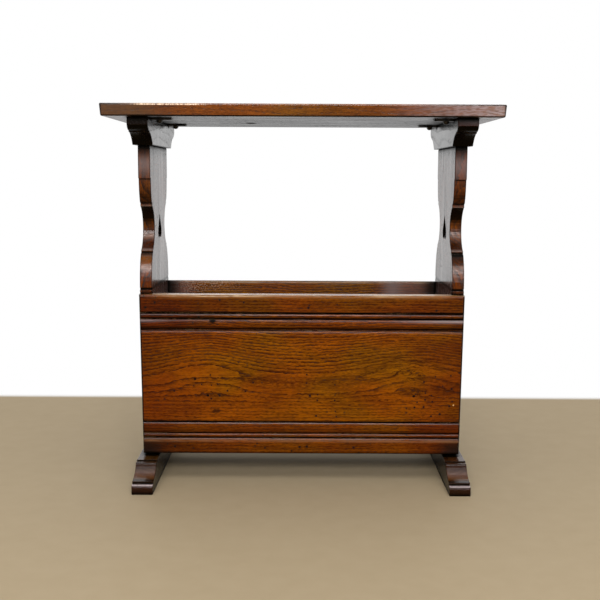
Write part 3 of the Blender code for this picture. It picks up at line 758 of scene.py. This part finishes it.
def dress_panels_and_top():
    """Trough panels, top and rack floor. The panels are darker at both ends."""
    panel_ends = (0.018, 0.262, 0.95, colour(0.62, 0.42, 0.45))
    dress("front_panel", oak(
        "front_panel_oak", along="X", broad="Z", pith=(-0.122, 0.160), seed=3.1, wander=0.003,
        light=colour(0.285, 0.068, 0.0002), dark=colour(0.125, 0.024, 0.0002), line=panel_line,
        ends=panel_ends, reflection=1.22, polish=0.6,
        bent=cathedral, calmed=calmer_panel, marked_and_lit=marked_and_lit_front, waxed_and_shaded=waxed_and_shaded_front))
    dress("back_panel", oak(
        "back_panel_oak", along="X", broad="Z", pith=(0.13, 0.02), seed=8.4,
        light=colour(0.37, 0.108, 0.008), dark=colour(0.19, 0.048, 0.005), line=panel_line,
        ends=panel_ends, reflection=1.25, polish=0.3, marked_and_lit=marked_and_lit_back))
    dress("table_top", oak(
        "top_oak", along="X", broad="Y", pith=(0.03, 0.50), seed=5.5, ring=0.0040,
        ends=(0.0, 0.30, 0.6, colour(0.70, 0.72, 0.9)),
        light=colour(0.225, 0.063, 0.010), dark=colour(0.105, 0.027, 0.006), worn=0.3,
        calmed=calmer_edge, marked_and_lit=marked_and_lit_top, waxed_and_shaded=waxed_and_shaded_top, dulled=dry_underside))
    dress("rack_floor", oak(
        "floor_oak", along="X", broad="Y", pith=(0.02, -0.03), seed=27.0,
        light=colour(0.12, 0.045, 0.015), dark=colour(0.05, 0.018, 0.008), roughness=0.45))


def dress_end(name, side):
    """Bearer, end board and foot of one end. The side is -1 on the left and 1 on the right."""
    dress("bearer_" + name, oak(
        "bearer_oak_" + name, along="Y", broad="Z", pith=(side * 0.33, 0.53), seed=11.0 + side,
        side=side, light=colour(0.020, 0.007, 0.004), dark=colour(0.008, 0.003, 0.002),
        worn=0.2, marked_and_lit=marked_and_lit_bearer, waxed_and_shaded=waxed_and_shaded_bearer))
    dress("end_board_" + name, oak(
        "end_board_oak_" + name, along="Z", broad="Y", pith=(side * 0.29, 0.03),
        seed=15.0 + 2 * side, side=side, light=colour(0.17, 0.033, 0.001),
        dark=colour(0.05, 0.009, 0.001), arris=colour(0.012, 0.005, 0.003), worn=1.2,
        roughness=0.15, marked_and_lit=marked_and_lit_board, waxed_and_shaded=waxed_and_shaded_board))
    dress("foot_" + name, oak(
        "foot_oak_" + name, along="Y", broad="Z", pith=(side * 0.26, -0.03), seed=21.0 + side,
        side=side, light=colour(0.080, 0.024, 0.007), dark=colour(0.038, 0.011, 0.004),
        arris=colour(0.20, 0.10, 0.05), worn=0.25, roughness=0.13, reflection=1.31,
        marked_and_lit=marked_and_lit_foot, waxed_and_shaded=waxed_and_shaded_foot))


def dress_fixings():
    """Beech dowels, and blackened plates and screws."""
    beech = oak(
        "dowel_beech", along="Y", broad="Z", pith=(0.0, 0.1), seed=31.0, ring=0.002,
        light=colour(0.5, 0.33, 0.18), dark=colour(0.36, 0.22, 0.11),
        line=colour(0.25, 0.14, 0.07), worn=0.0, roughness=0.6)
    plates = steel("plate_steel", 1.0, colour(0.020, 0.018, 0.017))
    screws = steel("screw_steel", 4.0, colour(0.03, 0.026, 0.022))
    for name in nodes:
        if name.startswith("panel_dowel"):
            dress(name, beech)
        elif name.startswith("top_plate"):
            dress(name, plates)
        elif "_screw_" in name:
            dress(name, screws)


def ray_kind(tree, *kinds):
    """1 for rays of these kinds, 0 for others."""
    path = tree.nodes.new("ShaderNodeLightPath")
    total = Field(tree, path.outputs[kinds[0]])
    for kind in kinds[1:]:
        total = total + Field(tree, path.outputs[kind])
    return total.clamped()


def floor_material():
    """Plain floor that turns to a white backdrop behind the table."""
    material, tree, shader = new_material("studio_floor")
    place = position(tree)
    mottle = noise(tree, place["X"] * 30, place["Y"] * 30, 0.0, detail=5.0)
    tone = mixed(tree, mottle, colour(0.318, 0.247, 0.150), colour(0.357, 0.280, 0.177))
    beyond = place["Y"].rise(floor_back_edge - floor_blend, floor_back_edge + floor_blend)
    feed(tree, shader.inputs["Base Color"], mixed(tree, beyond, tone, colour(0.8, 0.8, 0.8)))
    shader.inputs["Roughness"].default_value = 0.75
    shader.inputs["Specular IOR Level"].default_value = 0.2
    glow = tree.nodes.new("ShaderNodeEmission")
    blend = tree.nodes.new("ShaderNodeMixShader")
    seen = ray_kind(tree, "Is Camera Ray", "Is Glossy Ray", "Is Transmission Ray")
    feed(tree, blend.inputs[0], beyond * seen)
    tree.links.new(shader.outputs[0], blend.inputs[1])
    tree.links.new(glow.outputs[0], blend.inputs[2])
    tree.links.new(blend.outputs[0], tree.nodes["Material Output"].inputs["Surface"])
    return material


def make_floor():
    mesh = bpy.data.meshes.new("studio_floor")
    signs = ((-1, -1), (1, -1), (1, 1), (-1, 1))
    corners = [(x * floor_reach, y * floor_reach, 0) for x, y in signs]
    mesh.from_pydata(corners, [], [(0, 1, 2, 3)])
    mesh.materials.append(floor_material())
    floor = bpy.data.objects.new("studio_floor", mesh)
    bpy.context.scene.collection.objects.link(floor)


def make_world():
    """White towards the camera and in reflections of the backdrop, and a plain soft fill."""
    world = bpy.data.worlds.new("studio")
    bpy.context.scene.world = world
    world.use_nodes = True
    tree = world.node_tree
    source = tree.nodes.new("ShaderNodeTexCoord")
    behind = split_vector(tree, source.outputs["Generated"])["Y"].rise(0.50, 0.92)
    camera = ray_kind(tree, "Is Camera Ray")
    glossy = ray_kind(tree, "Is Glossy Ray", "Is Transmission Ray")
    level = camera + glossy * (behind * 0.98 + 0.02) \
        + (1 - camera - glossy).clamped() * world_level
    background = tree.nodes["Background"]
    background.inputs["Color"].default_value = colour(1, 1, 1)
    feed(tree, background.inputs["Strength"], level)


def softbox(name, place, aim_height, width, height, watts):
    """A lamp that the camera doesn't see, aimed at a height above the middle of the floor."""
    light = bpy.data.lights.new(name, "AREA")
    light.shape = "RECTANGLE"
    light.size = width
    light.size_y = height
    light.energy = watts
    lamp = bpy.data.objects.new(name, light)
    lamp.location = place
    aim = Vector((0, 0, aim_height)) - Vector(place)
    lamp.rotation_euler = aim.to_track_quat("-Z", "Y").to_euler()
    lamp.visible_camera = False
    bpy.context.scene.collection.objects.link(lamp)


def make_lamps():
    softbox("front_softbox", (0.0, -2.8, 1.55), aim_height=0.35, width=1.6, height=0.8, watts=72)
    softbox("right_softbox", (1.15, -2.65, 0.8), aim_height=0.4, width=1.1, height=0.6, watts=9)
    softbox("left_softbox", (-1.15, -2.65, 0.8), aim_height=0.4, width=1.1, height=0.6, watts=3)
    softbox("overhead_softbox", (0.0, -0.5, 2.8), aim_height=0, width=2.6, height=2.6, watts=54)
    softbox("rear_softbox", (0.0, 2.8, 2.2), aim_height=0.3, width=3.2, height=1.2, watts=40)


def make_camera():
    data = bpy.data.cameras.new("camera")
    data.lens = camera_lens
    data.sensor_width = sensor_width
    data.clip_start = nearest_seen
    data.clip_end = farthest_seen
    camera = bpy.data.objects.new("camera", data)
    pitch = Matrix.Rotation(math.pi / 2 - camera_pitch, 4, "X")
    roll = Matrix.Rotation(camera_roll, 4, "Z")
    camera.matrix_world = Matrix.Translation(camera_place) @ pitch @ roll
    bpy.context.scene.collection.objects.link(camera)
    bpy.context.scene.camera = camera


dress_panels_and_top()
dress_end("left", -1)
dress_end("right", 1)
dress_fixings()
make_camera()
make_floor()
make_world()
make_lamps()

bpy.context.scene.view_settings.view_transform = "Standard"
